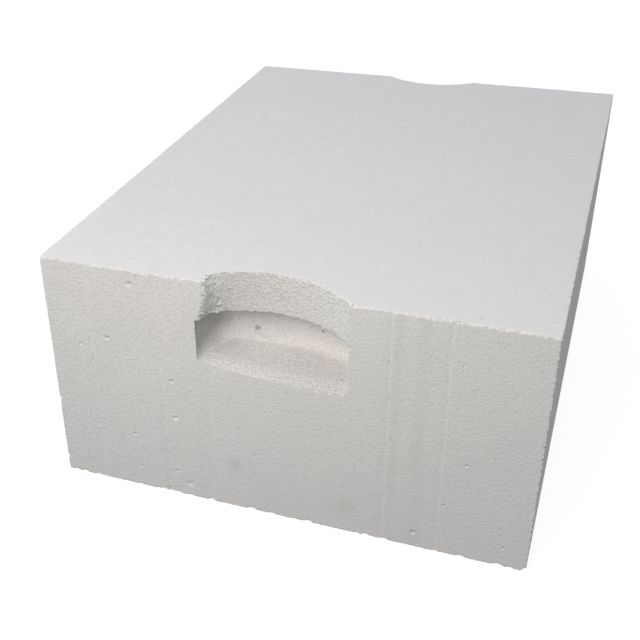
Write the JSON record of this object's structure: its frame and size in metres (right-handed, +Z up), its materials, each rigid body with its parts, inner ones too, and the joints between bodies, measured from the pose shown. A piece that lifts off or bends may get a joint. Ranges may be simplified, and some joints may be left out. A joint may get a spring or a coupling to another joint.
{
  "type": "aerated concrete block",
  "caption": "White aerated concrete wall block with flat sawn faces and a milled grip in each end, open to the top and undercut for the fingers.",
  "frame": {"origin": "middle of the bottom face", "axes": "+X along the length, towards the end with the deeper grip; +Y across the width; +Z up"},
  "size_m": [0.499, 0.375, 0.199],
  "materials": {
    "aerated_concrete": "matt, open-pored, wire-cut and milled"
  },
  "bodies": {
    "root": {"block": "aerated_concrete"}
  },
  "joints": []
}
